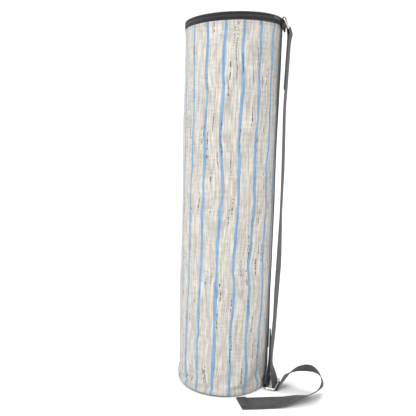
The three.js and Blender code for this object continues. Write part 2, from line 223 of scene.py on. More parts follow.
def strap_section(width, thickness, middle_points=13):
    """Outline of flat webbing: (across, outwards) pairs with round edges and a stitched groove."""
    half = width / 2
    rounded = 0.0012
    groove_depth, groove_width = 0.00035, 0.0005
    near_edge = np.array([0.0, 0.0006, 0.0018, 0.0024, 0.0030, 0.0036, 0.0048])
    middle = np.linspace(-half + 0.006, half - 0.006, middle_points)
    across = np.concatenate([-half + near_edge, middle, half - near_edge[::-1]])
    from_edge = half - np.abs(across)
    height = thickness / 2 * np.sqrt(np.clip(1 - (1 - np.clip(from_edge / rounded, 0, 1)) ** 2, 0, 1))
    height = height - groove_depth * np.exp(-((from_edge - GROOVE_FROM_EDGE) / groove_width) ** 2)
    top = np.stack([across, height], axis=1)
    bottom = np.stack([across[::-1], -height[::-1]], axis=1)
    return np.vstack([top, bottom[1:-1]])


def strap_piece(name, stations, section):
    """Sweeps a strap section along stations of point and across direction."""
    centre = stations[:, :3]
    across = unit(stations[:, 3:6])
    along = unit(np.gradient(centre, axis=0))
    outward = unit(np.cross(along, across))
    points = (centre[:, None] + across[:, None] * section[None, :, :1]
              + outward[:, None] * section[None, :, 1:2])
    closed = np.vstack([section, section[:1]])
    uvs = np.stack(np.broadcast_arrays(closed[None, :, 0], distance_along(centre)[:, None]), axis=2)
    return grid_piece(name, points, uvs, closed_columns=True, caps=True)


# ---- material helpers
class Graph:
    """A material and short ways to add nodes to it."""

    def __init__(self, name, roughness, **shader_values):
        self.material = bpy.data.materials.new(name)
        self.material.use_nodes = True
        self.nodes = self.material.node_tree.nodes
        self.links = self.material.node_tree.links
        self.shader = self.nodes["Principled BSDF"]
        for key, value in {"Roughness": roughness, **shader_values}.items():
            self.shader.inputs[key.replace("_", " ")].default_value = value

    def add(self, kind, inputs=(), output=0, **settings):
        node = self.nodes.new(kind)
        for key, value in settings.items():
            setattr(node, key, value)
        for key, value in dict(inputs).items():
            if isinstance(value, bpy.types.NodeSocket):
                self.links.new(value, node.inputs[key])
            else:
                node.inputs[key].default_value = value
        return node.outputs[output]

    def math(self, operation, a, b=0.0):
        return self.add("ShaderNodeMath", {0: a, 1: b}, operation=operation)

    def plus(self, a, b):
        return self.math("ADD", a, b)

    def minus(self, a, b):
        return self.math("SUBTRACT", a, b)

    def times(self, a, b):
        return self.math("MULTIPLY", a, b)

    def divided(self, a, b):
        return self.math("DIVIDE", a, b)

    def spread(self, value, size):
        """Turns a number from 0 to 1 into one as far below zero as above it."""
        return self.times(self.minus(value, 0.5), size)

    def smooth(self, value, low, high, to_low=0.0, to_high=1.0):
        ends = {"From Min": low, "From Max": high, "To Min": to_low, "To Max": to_high}
        return self.add("ShaderNodeMapRange", {"Value": value, **ends}, interpolation_type="SMOOTHSTEP")

    def combine(self, x, y, z=0.0):
        return self.add("ShaderNodeCombineXYZ", {"X": x, "Y": y, "Z": z})

    def uv(self):
        """The cloth's own two directions, in metres."""
        vector = self.add("ShaderNodeUVMap", uv_map="cloth")
        split = self.add("ShaderNodeSeparateXYZ", {0: vector}).node
        return split.outputs["X"], split.outputs["Y"]

    def noise(self, vector, scale=1.0, detail=2.0, roughness=0.5):
        return self.add("ShaderNodeTexNoise",
                        {"Vector": vector, "Scale": scale, "Detail": detail, "Roughness": roughness},
                        noise_dimensions="3D")

    def cloth_noise(self, u, u_scale, v, v_scale, layer=0.0, detail=2.0, roughness=0.5):
        """Noise over the cloth with a scale for each direction. Layers differ from each other."""
        place = self.combine(self.times(u, u_scale), self.times(v, v_scale), layer)
        return self.noise(place, detail=detail, roughness=roughness)

    def random(self, *numbers):
        vector = self.combine(*numbers)
        return self.add("ShaderNodeTexWhiteNoise", {"Vector": vector}, noise_dimensions="3D")

    def mix(self, factor, a, b, blend="MIX"):
        a, b = [(*colour, 1.0) if isinstance(colour, tuple) else colour for colour in (a, b)]
        inputs = {0: factor, 6: a, 7: b}
        return self.add("ShaderNodeMix", inputs, output=2, data_type="RGBA", blend_type=blend)

    def shaded(self, colour, pillow, depth, floor):
        """Paints shade between the threads: darkens a colour to floor there, to floor plus depth on top of a
        thread.
        """
        factor = self.plus(self.times(pillow, depth), floor)
        return self.mix(1.0, colour, self.combine(factor, factor, factor), "MULTIPLY")

    def object_point(self):
        return self.add("ShaderNodeTexCoord", output=3)

    def connect(self, colour, roughness=None, height=None, distance=0.0003, strength=1.0):
        self.links.new(colour, self.shader.inputs["Base Color"])
        if roughness is not None:
            self.links.new(roughness, self.shader.inputs["Roughness"])
        if height is not None:
            bump = self.add("ShaderNodeBump", {"Height": height, "Distance": distance, "Strength": strength})
            self.links.new(bump, self.shader.inputs["Normal"])
        return self.material


def thread_cells(g, u, v, pitch_u, pitch_v):
    """Plain weave: thread numbers both ways, a pillow height, and 1 where the weft lies on top."""
    thread_u = g.divided(u, pitch_u)
    thread_v = g.divided(v, pitch_v)
    number_u = g.math("FLOOR", thread_u)
    number_v = g.math("FLOOR", thread_v)
    rounds = [g.math("ABSOLUTE", g.math("SINE", g.times(thread, math.pi))) for thread in (thread_u, thread_v)]
    height = g.times(g.math("POWER", rounds[0], 0.7), g.math("POWER", rounds[1], 0.7))
    keeps_positive = 4096.0
    parity = g.math("MODULO", g.plus(g.plus(number_u, number_v), keeps_positive), 2.0)
    return number_u, number_v, height, parity


# ---- materials
STRIPES = 18
STRIPE_PITCH = GIRTH / STRIPES
STRIPE_PHASE = 0.825
STRIPE_LEAN = 0.009
STRIPE_WIDTH = 0.0050
STRIPE_SWAY = 0.022
STRIPE_WANDER = 0.005
WARP_PITCH = 0.00155
WEFT_PITCH = 0.00215
DASH_WIDTH = 0.0026
DASH_LENGTH = 0.032
CREAM_WARP = ((0.39, 0.36, 0.315), (0.68, 0.645, 0.59))
CREAM_WEFT = ((0.47, 0.44, 0.395), (0.70, 0.68, 0.635))
BLUE_WARP = ((0.085, 0.225, 0.42), (0.17, 0.375, 0.59))
GREY_YARN = (0.27, 0.26, 0.245)
FLECK_COLOUR = (0.13, 0.115, 0.10)
DASH_COLOUR = (0.030, 0.027, 0.025)


def in_stripe(g, u, v, warp, weft):
    """1 in a blue stripe, 0 in the cream, with a ragged edge and a width that swells and shrinks."""
    upright = g.minus(u, g.times(v, STRIPE_LEAN))
    place = g.plus(g.divided(upright, STRIPE_PITCH), STRIPE_PHASE)
    number = g.math("ROUND", place)
    off_centre = g.times(g.math("ABSOLUTE", g.minus(place, number)), STRIPE_PITCH)
    swell = g.cloth_noise(number, 5.3, v, 14.0, layer=7.0)
    half_width = g.times(g.plus(swell, 0.55), STRIPE_WIDTH / 2)
    ragged = g.spread(g.random(warp, weft, 2.0), 0.0007)
    past_edge = g.minus(g.plus(off_centre, ragged), half_width)
    return g.smooth(past_edge, 0.0003, -0.0003)


def in_dash(g, u, v, weft):
    """1 in a dark slub: short runs along a few warp threads, of uneven thickness and broken."""
    column = g.divided(u, DASH_WIDTH)
    warp = g.math("FLOOR", column)
    run = g.math("FLOOR", g.plus(g.divided(v, DASH_LENGTH), g.random(warp, 3.0)))
    here = g.math("GREATER_THAN", g.random(warp, run, 11.0), 0.95)
    across = g.math("ABSOLUTE", g.minus(g.math("FRACT", column), 0.5))
    pick = g.random(warp, weft, 21.0)
    dash = g.times(here, g.smooth(g.minus(across, g.times(pick, 0.42)), 0.02, -0.06))
    return g.times(dash, g.math("GREATER_THAN", pick, 0.34))


def striped_canvas():
    """Coarse cream slub weave with thin wavering blue stripes and dark slubs along the warp."""
    g = Graph("striped_canvas", 0.92, Sheen_Weight=0.08, Sheen_Roughness=0.6)
    u, v = g.uv()
    sway = g.spread(g.cloth_noise(u, 9.0, v, 6.5), STRIPE_SWAY)
    wander = g.spread(g.cloth_noise(u, 40.0, v, 22.0, layer=3.0), STRIPE_WANDER)
    drawn = g.plus(u, g.plus(sway, wander))
    warp, weft, pillow, weft_on_top = thread_cells(g, drawn, v, WARP_PITCH, WEFT_PITCH)
    stripe = in_stripe(g, drawn, v, warp, weft)

    yarn = g.cloth_noise(warp, 0.83, v, 26.0, detail=3.0)
    yarn_wide = g.cloth_noise(drawn, 380.0, v, 12.0, layer=5.0)
    pick = g.cloth_noise(u, 30.0, weft, 0.71, layer=9.0, detail=3.0)
    cream = g.mix(g.smooth(yarn, 0.40, 0.60), *CREAM_WARP)
    cream = g.mix(g.smooth(yarn_wide, 0.50, 0.66, 0.0, 0.75), cream, GREY_YARN)
    weft_cream = g.mix(g.smooth(pick, 0.40, 0.60), *CREAM_WEFT)
    blue = g.mix(g.smooth(yarn, 0.35, 0.65), *BLUE_WARP)
    fleck = g.cloth_noise(drawn, 420.0, v, 120.0, layer=4.0, detail=3.0)
    fleck = g.smooth(fleck, 0.67, 0.74, 0.0, 0.7)

    warp_colour = g.mix(stripe, cream, blue)
    weft_share = g.times(weft_on_top, g.minus(1.0, g.times(stripe, 0.62)))
    cloth = g.mix(g.times(weft_share, 0.62), warp_colour, weft_cream)
    cloth = g.mix(g.times(fleck, g.minus(1.0, stripe)), cloth, FLECK_COLOUR)
    cloth = g.mix(g.times(in_dash(g, drawn, v, weft), 0.92), cloth, DASH_COLOUR)
    # Painted shade between the threads.
    cloth = g.shaded(cloth, pillow, 0.32, 0.70)
    height = g.plus(pillow, g.times(yarn, 1.2))
    return g.connect(cloth, height=height, distance=0.0005, strength=0.7)


def plain_canvas(name, dark, light, pitch=0.0009, roughness=0.9, worn=0.5):
    """Close plain weave with mixed dark and light fibres, a little paler where it is rubbed."""
    g = Graph(name, roughness, Sheen_Weight=0.1, Sheen_Roughness=0.5)
    u, v = g.uv()
    warp, weft, pillow, weft_on_top = thread_cells(g, u, v, pitch, pitch * 1.15)
    warp_tone = g.cloth_noise(warp, 0.9, v, 60.0, detail=3.0)
    weft_tone = g.cloth_noise(u, 60.0, weft, 0.9, layer=5.0, detail=3.0)
    tone = g.plus(g.times(warp_tone, g.minus(1.0, weft_on_top)), g.times(weft_tone, weft_on_top))
    rubbed = g.cloth_noise(u, 22.0, v, 9.0, layer=8.0, detail=4.0)
    tone = g.plus(tone, g.spread(rubbed, worn))
    colour = g.mix(g.smooth(tone, 0.30, 0.72), dark, light)
    # Painted shade between the threads.
    colour = g.shaded(colour, pillow, 0.45, 0.62)
    return g.connect(colour, height=pillow, strength=0.6)


def strap_webbing():
    """Charcoal webbing with a fine weave, pale worn fibres and a darker stitched line by each edge."""
    g = Graph("webbing", 0.88, Sheen_Weight=0.1, Sheen_Roughness=0.5)
    u, v = g.uv()
    warp, _, pillow, _ = thread_cells(g, u, v, 0.0010, 0.0013)
    fibre = g.cloth_noise(warp, 1.3, v, 130.0, detail=4.0, roughness=0.65)
    rubbed = g.cloth_noise(u, 60.0, v, 14.0, layer=6.0, detail=4.0)
    tone = g.plus(fibre, g.spread(rubbed, 0.5))
    colour = g.mix(g.smooth(tone, 0.32, 0.75), (0.022, 0.0215, 0.0245), (0.082, 0.081, 0.087))
    from_edge = g.minus(WEBBING_WIDTH / 2, g.math("ABSOLUTE", u))
    line = g.smooth(g.math("ABSOLUTE", g.minus(from_edge, GROOVE_FROM_EDGE)), 0.0012, 0.0003)
    stitch = g.math("GREATER_THAN", g.math("FRACT", g.divided(v, 0.0032)), 0.22)
    edge_wear = g.smooth(from_edge, 0.0011, 0.0, 0.0, 0.45)
    colour = g.mix(g.times(line, 0.75), colour, (0.014, 0.014, 0.016))
    colour = g.mix(edge_wear, colour, (0.12, 0.12, 0.125))
    # Painted shade between the threads.
    colour = g.shaded(colour, pillow, 0.35, 0.72)
    height = g.plus(pillow, g.times(g.times(line, stitch), 1.5))
    return g.connect(colour, height=height, strength=0.7)


def plated_metal(name, colour, tarnish, roughness):
    """Plated wire: fine drawn scratches, duller in patches."""
    g = Graph(name, roughness, Metallic=1.0)
    point = g.object_point()
    patches = g.noise(point, scale=180.0, detail=4.0)
    scratches = g.noise(point, scale=2600.0)
    tone = g.mix(g.smooth(patches, 0.42, 0.68), colour, tarnish)
    rough = g.smooth(patches, 0.4, 0.7, roughness * 0.7, roughness * 1.5)
    rough = g.plus(rough, g.times(scratches, 0.08))
    return g.connect(tone, roughness=rough, height=scratches, distance=0.00004, strength=0.5)


CANVAS = striped_canvas()
CHARCOAL = plain_canvas("charcoal_canvas", (0.0075, 0.007, 0.0095), (0.028, 0.0265, 0.032))
ZIP_TAPE = plain_canvas("zip_tape", (0.0065, 0.006, 0.0085), (0.022, 0.0205, 0.026), pitch=0.0006, worn=0.3)
BINDING = plain_canvas("binding_tape", (0.42, 0.39, 0.34), (0.60, 0.57, 0.52), pitch=0.0007)
WEBBING = strap_webbing()
NYLON = plain_canvas("zip_coil", (0.010, 0.010, 0.012), (0.030, 0.029, 0.033), pitch=0.0008, roughness=0.45)
THREAD = plain_canvas("pale_thread", (0.36, 0.35, 0.33), (0.52, 0.51, 0.48), pitch=0.0004)
DARK_THREAD = plain_canvas("dark_thread", (0.004, 0.004, 0.005), (0.014, 0.014, 0.016), pitch=0.0004)
NICKEL = plated_metal("nickel", (0.66, 0.62, 0.55), (0.50, 0.44, 0.34), 0.24)
DARK_NICKEL = plated_metal("dark_nickel", (0.13, 0.13, 0.135), (0.07, 0.07, 0.072), 0.35)


# ---- camera, at the photograph's viewing angle
CAMERA_PLACE = Vector((0.0, -0.9116, 0.4468))
CAMERA_YAW = -0.0415
CAMERA_PITCH = -0.1164
CAMERA_ROLL = 0.0288
CAMERA_LENS = 40.9


def add_camera():
    forward = Vector((math.sin(CAMERA_YAW) * math.cos(CAMERA_PITCH),
                      math.cos(CAMERA_YAW) * math.cos(CAMERA_PITCH), math.sin(CAMERA_PITCH)))
    level = Vector((math.cos(CAMERA_YAW), -math.sin(CAMERA_YAW), 0.0))
    upward = level.cross(forward)
    right = level * math.cos(CAMERA_ROLL) + upward * math.sin(CAMERA_ROLL)
    up = upward * math.cos(CAMERA_ROLL) - level * math.sin(CAMERA_ROLL)
    data = bpy.data.cameras.new("camera")
    data.lens = CAMERA_LENS
    data.sensor_width = 36.0
    data.clip_start = 0.01
    camera = bpy.data.objects.new("camera", data)
    turn = Matrix((right, up, -forward)).transposed().to_4x4()
    camera.matrix_world = Matrix.Translation(CAMERA_PLACE) @ turn
    bpy.context.scene.collection.objects.link(camera)
    bpy.context.scene.camera = camera


add_camera()


# ---- carrying strap
# One length of webbing: from its sewn end up to the top ring, round the ring's outer bar, down the
# side of the tube, under the bottom ring's outer bar and out over the floor. Each row is a point of
# the centre line, then the direction across the strap.
def fold_over_ring():
    bar_radius = TOP_RING_BAR[0] + RING_DEPTH * math.cos(TOP_RING_DROOP)
    bar_z = TOP_RING_BAR[1] - RING_DEPTH * math.sin(TOP_RING_DROOP)
    lean = math.tan(math.radians(1.5))
    bend = 0.0032
    profile = [(-0.0010 - lean * depth, -depth) for depth in (0.104, 0.075, 0.045, 0.022)]
    profile += [(-0.0017, -0.0105), (-0.0029, -0.0035)]
    profile += [(bend * math.cos(a), bend * math.sin(a)) for a in np.radians([165, 130, 90, 50, 15])]
    profile += [(0.0029, -0.0035), (0.0014, -0.0105)]
    profile += [(0.0010 - lean * depth, -depth) for depth in (0.022, 0.045, 0.075, 0.100)]
    return round_a_bar(TOP_RING_AZIMUTH, bar_radius, bar_z, profile)


STRAP_STEP = 0.0016
HEM_STATIONS = 11
STRAP_SIDE = [
    [0.0992, -0.0188, 0.530, 0.21, 0.98, 0],
    [0.1008, -0.0146, 0.470, 0.22, 0.98, 0],
    [0.1021, -0.0116, 0.420, 0.22, 0.98, 0],
    [0.1023, -0.0104, 0.375, 0.20, 0.98, 0],
    [0.1023, -0.0100, 0.330, 0.20, 0.98, 0],
    [0.1025, -0.0102, 0.290, 0.26, 0.97, 0],
    [0.1024, -0.0112, 0.240, 0.32, 0.95, 0],
    [0.1009, -0.0130, 0.190, 0.31, 0.95, 0],
    [0.0995, -0.0160, 0.140, 0.27, 0.96, 0],
    [0.0974, -0.0200, 0.095, 0.27, 0.96, 0],
    [0.0957, -0.0250, 0.058, 0.20, 0.98, 0],
    [0.0959, -0.0290, 0.038, 0.17, 0.98, -0.05],
    [0.0988, -0.0318, 0.024, 0.25, 0.97, 0],
]
STRAP_BEND = [[-0.0062, 0.0118], [-0.0057, 0.0054], [-0.0037, 0.0021], [0, 0.00125], [0.0036, 0.0021],
              [0.0053, 0.0056]]
STRAP_END = [
    [0.1139, -0.0370, 0.0102, 0.31, 0.95, 0],
    [0.1205, -0.0385, 0.0205, 0.20, 0.97, -0.14],
    [0.1315, -0.0400, 0.0325, 0.14, 0.89, -0.43],
    [0.1440, -0.0425, 0.0412, 0.14, 0.80, -0.58],
    [0.1580, -0.0465, 0.0460, 0.12, 0.74, -0.66],
    [0.1700, -0.0510, 0.0468, 0.15, 0.75, -0.64],
    [0.1793, -0.0565, 0.0436, 0.18, 0.82, -0.55],
    [0.1845, -0.0615, 0.0374, 0.19, 0.88, -0.44],
    [0.1868, -0.0670, 0.0304, 0.26, 0.88, -0.40],
    [0.1840, -0.0735, 0.0230, 0.33, 0.87, -0.38],
    [0.1750, -0.0795, 0.0172, 0.25, 0.88, -0.41],
    [0.1610, -0.0845, 0.0120, 0.17, 0.87, -0.46],
    [0.1490, -0.0880, 0.0100, 0.13, 0.92, -0.36],
    [0.1360, -0.0905, 0.0075, 0.10, 0.97, -0.23],
    [0.1230, -0.0935, 0.0046, 0.08, 0.99, -0.12],
    [0.1100, -0.0960, 0.0024, 0.03, 1, -0.05],
    [0.0920, -0.0985, 0.0013, 0, 1, 0],
    [0.0740, -0.1015, 0.0012, -0.06, 1, 0],
    [0.0520, -0.1048, 0.0012, -0.18, 0.98, 0],
    [0.0330, -0.1075, 0.0012, -0.28, 0.96, 0],
]


def carrying_strap():
    bend = round_a_bar(BOTTOM_RING_AZIMUTH, BOTTOM_RING_BAR[0] + RING_DEPTH, 0, STRAP_BEND)
    stations = smooth_route(fold_over_ring() + STRAP_SIDE + bend + STRAP_END, STRAP_STEP)
    piece = strap_piece("carrying_strap", stations, strap_section(WEBBING_WIDTH, WEBBING_THICKNESS))
    finish_piece(piece, None, "webbing", WEBBING, "strap_fold", "strap_upper", "strap_lower", "strap_bend",
                 "strap_tail")
    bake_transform(piece)
    return piece, stations


strap, strap_stations = carrying_strap()


def strap_hem():
    """The end of the strap turned over and sewn: a second layer on the last stretch."""
    layer_gap, narrower = 0.0001, 0.0006
    last = strap_stations[-HEM_STATIONS:].copy()
    last[:, 2] += WEBBING_THICKNESS + layer_gap
    piece = strap_piece("strap_end_hem", last, strap_section(WEBBING_WIDTH - narrower, WEBBING_THICKNESS))
    return finish_piece(piece, "bag", "webbing", WEBBING, "strap_hem")


hem = strap_hem()


# ---- rings
def bent_ring(name, azimuth, bar, droop):
    """A rectangle of round wire, held by the bar that runs along the tangent at (radius, height)."""
    outline = np.array(rounded_outline(0, RING_DEPTH, RING_SPAN / 2, RING_SPAN / 2, RING_CORNER, 9))
    dense = []
    for a, b in zip(outline, np.roll(outline, -1, axis=0)):
        steps = max(1, round(np.linalg.norm(b - a) / 0.002))
        dense += [a + (b - a) * k / steps for k in range(steps)]
    flat = np.array(dense)
    tangent = unit(np.roll(flat, -1, axis=0) - np.roll(flat, 1, axis=0))
    sideways = np.stack([tangent[:, 1], -tangent[:, 0]], axis=1)
    reach = out_from_axis(azimuth) * math.cos(droop) - np.array([0, 0, math.sin(droop)])
    tangential = round_the_axis(azimuth)
    normal = np.cross(reach, tangential)
    centre = beside(azimuth, *bar)
    turns = np.linspace(0, ROUND, 16, endpoint=False)
    rows = []
    for (x, y), (side_x, side_y) in zip(flat, sideways):
        middle = centre + reach * x + tangential * y
        side = reach * side_x + tangential * side_y
        rows.append([middle + (side * math.cos(t) + normal * math.sin(t)) * RING_WIRE / 2 for t in turns])
    points = np.array(rows)
    uvs = np.zeros((points.shape[0] + 1, points.shape[1] + 1, 2))
    return grid_piece(name, points, uvs, closed_rows=True, closed_columns=True)


finish_piece(bent_ring("top_wire_ring", TOP_RING_AZIMUTH, TOP_RING_BAR, TOP_RING_DROOP),
             "top_ring", "nickel", NICKEL, "top_ring")
finish_piece(bent_ring("bottom_wire_ring", BOTTOM_RING_AZIMUTH, BOTTOM_RING_BAR, 0.0),
             "bottom_ring", "nickel", NICKEL, "bottom_ring")


# ---- tube of canvas
TUBE_COLUMNS = 144
TUBE_ROWS = 128
# Softish canvas with a little air behind it, cut slightly larger than the space it is sewn into.
CLOTH_SETTINGS = {"quality": 6, "mass": 0.25, "tension_stiffness": 40, "compression_stiffness": 40,
                  "shear_stiffness": 12, "bending_stiffness": 6, "air_damping": 3,
                  "vertex_group_mass": "sewn", "use_pressure": True, "uniform_pressure_force": 0.35}
CUT_LARGER = np.array([1.006, 1.006, 1.009])
CLOTH_FRAMES = 24


def simulate_cloth(piece, held_rows):
    """Lets a cloth settle between the rows that are sewn down, and returns its points."""
    count = len(piece.data.vertices)
    held = piece.vertex_groups.new(name="sewn")
    held.add([i for i in range(count) if i // TUBE_COLUMNS in held_rows], 1.0, "REPLACE")
    piece.shape_key_add(name="sewn up")
    cut = piece.shape_key_add(name="cut size")
    points = np.empty(count * 3)
    piece.data.vertices.foreach_get("co", points)
    cut.data.foreach_set("co", (points.reshape(-1, 3) * CUT_LARGER).ravel())
    cloth = piece.modifiers.new("cloth", "CLOTH")
    for key, value in CLOTH_SETTINGS.items():
        setattr(cloth.settings, key, value)
    cloth.settings.rest_shape_key = cut
    cloth.point_cache.frame_end = CLOTH_FRAMES
    for frame_number in range(1, CLOTH_FRAMES + 1):
        bpy.context.scene.frame_set(frame_number)
    settled = piece.evaluated_get(bpy.context.evaluated_depsgraph_get()).to_mesh()
    settled.vertices.foreach_get("co", points)
    return points.reshape(-1, 3)


def tube_points():
    """Grid of the canvas tube's outer surface, rows up from the floor, columns round from the seam."""
    azimuths = SEAM_AZIMUTH + np.linspace(0, ROUND, TUBE_COLUMNS, endpoint=False)
    share = np.linspace(0, 1, TUBE_ROWS)[:, None]
    z = share * slope_height(BAG_RADIUS * np.cos(azimuths), BAG_RADIUS * np.sin(azimuths), CANVAS_DEPTH)
    # Long soft dents, strongest between the base and the mouth.
    ease = np.sin(math.pi * share) ** 0.5
    dents = (0.0011 * np.sin(3 * azimuths + 14 * z + 0.6) * np.sin(9 * z + 1.1)
             + 0.0009 * np.sin(5 * azimuths - 21 * z + 2.0)
             + 0.0006 * np.sin(8 * azimuths + 33 * z + 4.0) * np.sin(17 * z))
    waist = 0.0012 * np.sin(math.pi * share)
    # The foot turns in, in a quarter circle, to the seam with the base.
    foot = np.clip(z / 0.009, 0, 1)
    tuck = 0.0040 * (1 - np.sqrt(1 - (1 - foot) ** 2))
    radius = BAG_RADIUS - tuck + ease * dents - waist
    floor_wave = 0.0006 + 0.0006 * np.sin(3 * azimuths + 1) * (1 - share)
    return np.stack([radius * np.cos(azimuths), radius * np.sin(azimuths),
                     z + floor_wave * (1 - share)], axis=2)


def settle_tube():
    points = tube_points()
    trial = grid_piece("tube_trial", points, np.zeros((TUBE_ROWS, TUBE_COLUMNS + 1, 2)), closed_columns=True)
    settled = simulate_cloth(trial, {0, 1, TUBE_ROWS - 2, TUBE_ROWS - 1})
    bpy.data.objects.remove(trial)
    return settled.reshape(TUBE_ROWS, TUBE_COLUMNS, 3)


TUBE = settle_tube()
TUBE_NORMALS = unit(np.cross(np.roll(TUBE, -1, axis=1) - np.roll(TUBE, 1, axis=1), np.gradient(TUBE, axis=0)))


def on_tube(around, height_share, offset):
    """Points off the settled canvas: metres round from the seam, share of its height, offset out."""
    column = np.asarray(around) / GIRTH * TUBE_COLUMNS
    row = np.clip(np.asarray(height_share) * (TUBE_ROWS - 1), 0, TUBE_ROWS - 1.001)
    c0 = np.floor(column).astype(int)
    r0 = np.floor(row).astype(int)
    fc = (column - c0)[..., None]
    fr = (row - r0)[..., None]
    c0, c1 = c0 % TUBE_COLUMNS, (c0 + 1) % TUBE_COLUMNS

    def blend(grid):
        a = grid[r0, c0] * (1 - fc) + grid[r0, c1] * fc
        b = grid[r0 + 1, c0] * (1 - fc) + grid[r0 + 1, c1] * fc
        return a * (1 - fr) + b * fr

    return blend(TUBE) + unit(blend(TUBE_NORMALS)) * np.asarray(offset)[..., None]


def canvas_tube():
    fine_columns, fine_rows = 2 * TUBE_COLUMNS, 2 * TUBE_ROWS
    around = np.linspace(0, GIRTH, fine_columns, endpoint=False)
    share = np.linspace(0, 1, fine_rows)
    grid_u, grid_v = np.meshgrid(around, share)
    outer = on_tube(grid_u, grid_v, np.zeros_like(grid_u))
    inner = on_tube(grid_u, grid_v, np.full_like(grid_u, -WALL))
    uvs = np.stack(np.meshgrid(np.linspace(0, GIRTH, fine_columns + 1), share * BAG_HEIGHT), axis=2)
    loop = np.concatenate([outer, inner[::-1]])
    loop_uvs = np.concatenate([uvs, uvs[::-1], uvs[:1]])
    piece = grid_piece("canvas_tube", loop, loop_uvs, closed_rows=True, closed_columns=True)
    finish_piece(piece, "bag", "striped_canvas", CANVAS, "body_panel")


canvas_tube()


# ---- strips, bands and threads
def strip_on_tube(name, middle, width, low, high, offset, thickness, wander=0.0):
    """Flat tape with round edges, laid up the canvas between two shares of its height."""
    section = strap_section(width, thickness)
    share = np.linspace(low, high, 120)[:, None]
    sway = 0.0008 * np.sin(share * 23 + 1) + 0.0005 * np.sin(share * 51)
    sway = sway + wander * np.sin(math.pi * share) ** 2
    around = middle + section[None, :, 0] + sway
    points = on_tube(around, np.broadcast_to(share, around.shape),
                     offset + thickness / 2 + np.broadcast_to(section[None, :, 1], around.shape))
    closed = np.vstack([section, section[:1]])
    uvs = np.stack(np.broadcast_arrays(closed[None, :, 0], share * BAG_HEIGHT), axis=2)
    return grid_piece(name, points, uvs, closed_columns=True, caps=True)


def rim_band(name, profile, start, end, steps, ripple=0.0, waves=40, tilt=True):
    """A closed profile of (radius, depth below the mouth) in metres swept round the tube."""
    profile = np.array(profile)
    turns = np.linspace(start, end, steps)[:, None]
    full = abs(end - start - ROUND) < 1e-6
    if full:
        turns = turns[:-1]
    wobble = ripple * (np.sin(waves * turns + 0.4) + 0.6 * np.sin(waves * 0.37 * turns + 2))
    radius = profile[None, :, 0] + wobble
    depth = profile[None, :, 1] + 0.6 * wobble
    if tilt:
        points = rim(turns, radius, depth)
    else:
        points = np.stack([radius * np.cos(turns), radius * np.sin(turns), BAG_HEIGHT - depth], axis=2)
    length = distance_along(np.vstack([profile, profile[:1]]))
    along = np.linspace(start, end, steps)[:, None] * BAG_RADIUS
    uvs = np.stack(np.broadcast_arrays(along, length[None, :]), axis=2)
    return grid_piece(name, points, uvs, closed_rows=full, closed_columns=True, caps=not full)


def threads(name, runs, radius):
    """Short stitches: a six-sided bar, a third wider than high, from each start to each end."""
    sides = 6
    rings = ((0, 0.35, -0.6), (0.15, 0.9, 0.3), (0.85, 0.9, 0.3), (1, 0.35, -0.6))
    vertices = []
    faces = []
    for start, end, outward in runs:
        along = end - start
        side = unit(np.cross(along, outward))
        up = unit(np.cross(side, along))
        faces += capped_faces(len(rings), sides, len(vertices))
        for share, size, lift in rings:
            middle = start + along * share + up * radius * lift
            for turn in np.linspace(0, ROUND, sides, endpoint=False):
                vertices.append(middle + (side * math.cos(turn) * 1.3 + up * math.sin(turn)) * radius * size)
    return new_object(name, vertices, faces)


def seam_runs(points, outwards, pitch):
    """Splits a line of points into stitches of one pitch, each with its start, end and direction out."""
    stitch_length = pitch * 0.72
    points, outwards = np.asarray(points), np.asarray(outwards)
    travelled = distance_along(points)

    def at(distance, rows):
        return np.array([np.interp(distance, travelled, rows[:, k]) for k in range(3)])

    begins = np.arange(0, travelled[-1] - stitch_length, pitch)
    return [(at(begin, points), at(begin + stitch_length, points), at(begin, outwards)) for begin in begins]


# ---- base, facing and seam bindings
def round_panel(name, radius, top, bottom, on_mouth, sag=0.0, phase=1.0):
    """A round cloth panel with a little slack, as a closed sheet between two surfaces."""
    rings, columns = 36, 144
    turns = np.linspace(0, ROUND, columns, endpoint=False)
    share, turn = np.meshgrid(np.linspace(0, 1, rings)[1:], turns, indexing="ij")
    ease = 1 - share**2
    ripple = np.sin(3 * turn + phase + 6 * share) + 0.7 * np.sin(7 * turn - 9 * share)
    slack = sag * ease + 0.0007 * ease * share * ripple
    x = radius * share * np.cos(turn)
    y = radius * share * np.sin(turn)
    edge = np.sqrt(np.clip(1 - ((share - 0.985).clip(0) / 0.015) ** 2, 0.05, 1))
    middle = (top + bottom) / 2
    half = (top - bottom) / 2
    upper = np.stack([x, y, middle + half * edge + slack], axis=2)
    lower = np.stack([x, y, middle - half * edge + slack], axis=2)
    centres = [[0, 0, top + sag], [0, 0, bottom + sag]]
    vertices = np.concatenate([upper.reshape(-1, 3), lower[::-1].reshape(-1, 3), centres])
    if on_mouth:
        vertices = on_slope(vertices)
    top_centre, bottom_centre = len(vertices) - 2, len(vertices) - 1
    inmost = top_centre - columns
    faces = capped_faces(2 * len(upper), columns)[2:]
    for c in range(columns):
        b = (c + 1) % columns
        faces.append((top_centre, b, c))
        faces.append((bottom_centre, inmost + c, inmost + b))
    uvs = [vertices[i][:2] for face in faces for i in face]
    return new_object(name, vertices, faces, uvs)


BASE_RADIUS = 0.0862
BASE_TOP, BASE_BOTTOM = 0.0026, 0.0012
finish_piece(round_panel("base_canvas", BASE_RADIUS, BASE_TOP, BASE_BOTTOM, False, phase=2.0),
             "bag", "charcoal_canvas", CHARCOAL, "base_panel")

